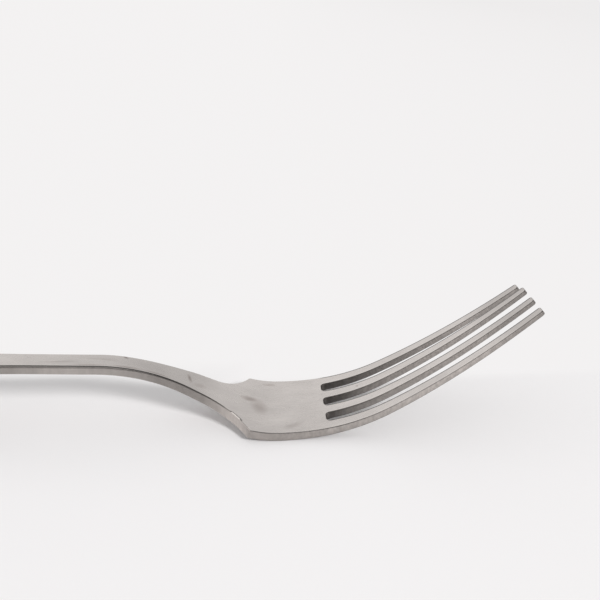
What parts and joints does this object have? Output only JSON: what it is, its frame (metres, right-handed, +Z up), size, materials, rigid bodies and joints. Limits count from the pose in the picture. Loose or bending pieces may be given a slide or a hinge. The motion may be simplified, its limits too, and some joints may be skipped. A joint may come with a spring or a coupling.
{
  "type": "dinner fork",
  "caption": "Flat stamped steel dinner fork with an arched slender handle, squared shoulders and long upswept tines, for eating at table.",
  "frame": {"origin": "on the table under the middle of the fork's bounding box, as the fork lies at rest with its tines curving up", "axes": "+X along the fork from the handle's end to the tine tips, +Y across it, +Z up from the table"},
  "size_m": [0.2002, 0.0258, 0.0307],
  "materials": {
    "steel": "satin, fine grain along the fork, worn by use"
  },
  "bodies": {
    "root": {"handle": "steel", "neck": "steel", "head": "steel", "tine_1": "steel", "tine_2": "steel", "tine_3": "steel", "tine_4": "steel"}
  },
  "joints": []
}
